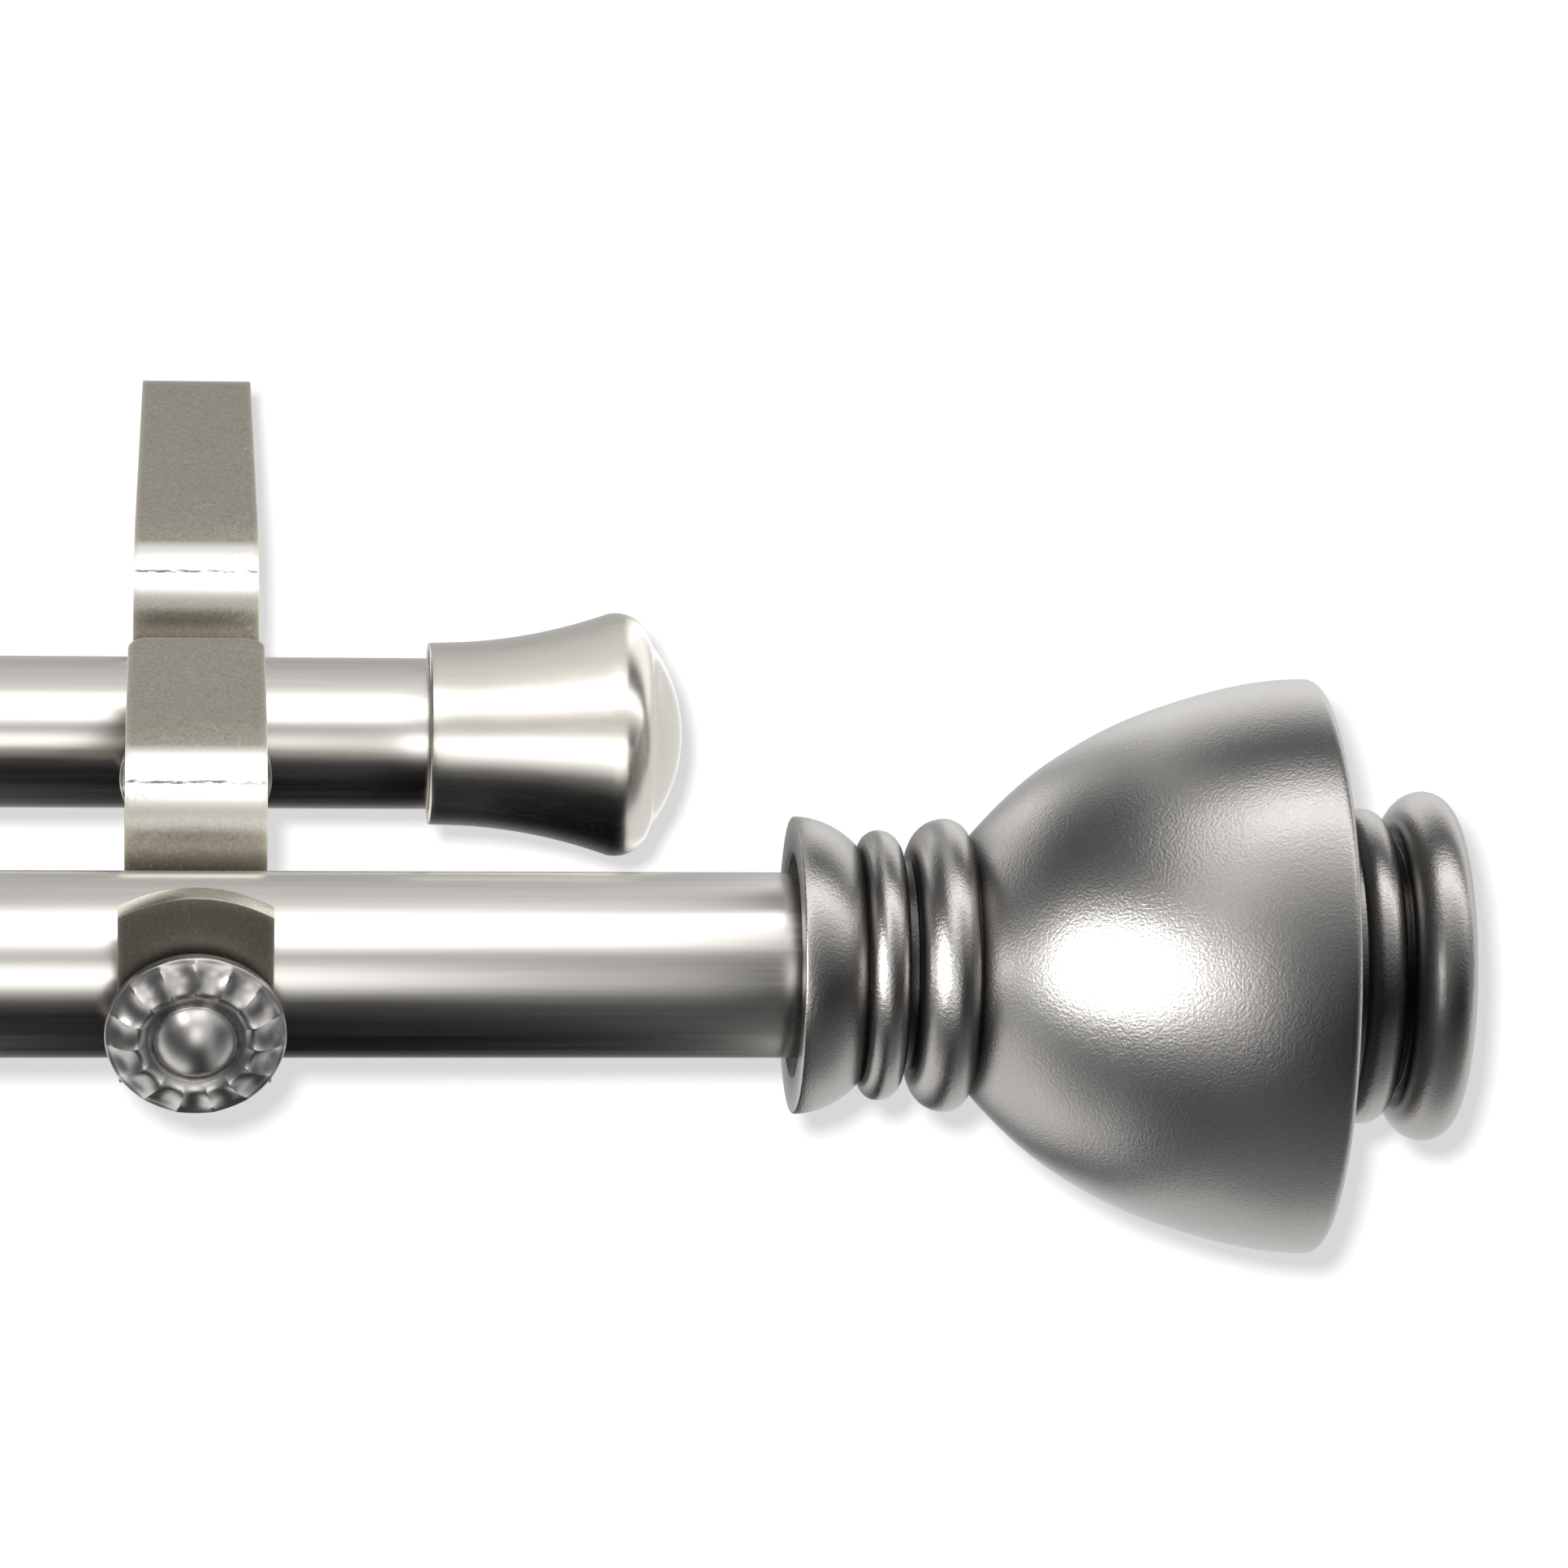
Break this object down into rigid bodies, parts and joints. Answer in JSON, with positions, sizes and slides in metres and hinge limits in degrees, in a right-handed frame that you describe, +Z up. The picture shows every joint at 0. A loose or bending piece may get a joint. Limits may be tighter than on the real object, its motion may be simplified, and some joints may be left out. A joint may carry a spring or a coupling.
{
  "type": "double curtain pole",
  "caption": "Two telescoping metal poles side by side on a pair of bent-strip wall brackets, with thumb screws, turned urn finials on the front pole and flared caps on the back pole.",
  "frame": {"origin": "centre of the right-hand bracket's two wall holes, on the wall plane", "axes": "+X along the poles to the right-hand finial, +Y into the wall, +Z up"},
  "size_m": [0.848, 0.1612, 0.0902],
  "materials": {
    "pole_nickel": "satin nickel",
    "bracket_nickel": "satin nickel",
    "cap_nickel": "satin nickel",
    "knob_nickel": "polished dark nickel",
    "plated_steel": "zinc plated",
    "finial_paint": "metallic paint with a fine grain",
    "brass": "plain",
    "black_plastic": "moulded"
  },
  "bodies": {
    "root": {"front_outer_tube": "pole_nickel", "back_outer_tube": "pole_nickel", "right_end_plug": "black_plastic", "right_finial_stud": "plated_steel", "right_finial_insert": "brass", "right_finial": "finial_paint", "right_cap_liner": "black_plastic", "right_end_cap": "cap_nickel", "right_rear_arm": "bracket_nickel", "right_front_arm": "bracket_nickel", "left_rear_arm": "bracket_nickel", "left_front_arm": "bracket_nickel"},
    "front_slider": {"front_inner_tube": "pole_nickel", "front_tail_ring": "black_plastic", "left_end_plug": "black_plastic", "left_finial_stud": "plated_steel", "left_finial_insert": "brass", "left_finial": "finial_paint"},
    "back_slider": {"back_inner_tube": "pole_nickel", "back_tail_ring": "black_plastic", "left_cap_liner": "black_plastic", "left_end_cap": "cap_nickel"},
    "right_front_screw": {"right_front_screw": "plated_steel"},
    "right_front_knob": {"right_front_knob": "knob_nickel"},
    "right_back_screw": {"right_back_screw": "plated_steel"},
    "right_back_knob": {"right_back_knob": "knob_nickel"},
    "left_front_screw": {"left_front_screw": "plated_steel"},
    "left_front_knob": {"left_front_knob": "knob_nickel"},
    "left_back_screw": {"left_back_screw": "plated_steel"},
    "left_back_knob": {"left_back_knob": "knob_nickel"}
  },
  "joints": [
    {"name": "front_pole_extend", "type": "slide", "parent": "root", "child": "front_slider", "axis": [-1, 0, 0], "range_m": [0, 0.508]},
    {"name": "back_pole_extend", "type": "slide", "parent": "root", "child": "back_slider", "axis": [-1, 0, 0], "range_m": [0, 0.508]},
    {"name": "right_front_screw_travel", "type": "slide", "parent": "root", "child": "right_front_screw", "axis": [0, -1, 0], "range_m": [0, 0.00241]},
    {"name": "right_front_knob_turn", "type": "hinge", "parent": "right_front_screw", "child": "right_front_knob", "pos_m": [0, -0.142, 0.034], "axis": [0, -1, 0], "range_deg": [0, 1080]},
    {"name": "right_back_screw_travel", "type": "slide", "parent": "root", "child": "right_back_screw", "axis": [0, -1, 0], "range_m": [0, 0.00241]},
    {"name": "right_back_knob_turn", "type": "hinge", "parent": "right_back_screw", "child": "right_back_knob", "pos_m": [0, -0.085, 0.0355], "axis": [0, -1, 0], "range_deg": [0, 1080]},
    {"name": "left_front_screw_travel", "type": "slide", "parent": "root", "child": "left_front_screw", "axis": [0, -1, 0], "range_m": [0, 0.00241]},
    {"name": "left_front_knob_turn", "type": "hinge", "parent": "left_front_screw", "child": "left_front_knob", "pos_m": [-0.547, -0.142, 0.034], "axis": [0, -1, 0], "range_deg": [0, 1080]},
    {"name": "left_back_screw_travel", "type": "slide", "parent": "root", "child": "left_back_screw", "axis": [0, -1, 0], "range_m": [0, 0.00241]},
    {"name": "left_back_knob_turn", "type": "hinge", "parent": "left_back_screw", "child": "left_back_knob", "pos_m": [-0.547, -0.085, 0.0355], "axis": [0, -1, 0], "range_deg": [0, 1080]}
  ],
  "couplings": [
    {"joint": "right_front_screw_travel", "follows": "right_front_knob_turn", "m_per_rad": 0.00012732},
    {"joint": "right_back_screw_travel", "follows": "right_back_knob_turn", "m_per_rad": 0.00012732},
    {"joint": "left_front_screw_travel", "follows": "left_front_knob_turn", "m_per_rad": 0.00012732},
    {"joint": "left_back_screw_travel", "follows": "left_back_knob_turn", "m_per_rad": 0.00012732}
  ]
}
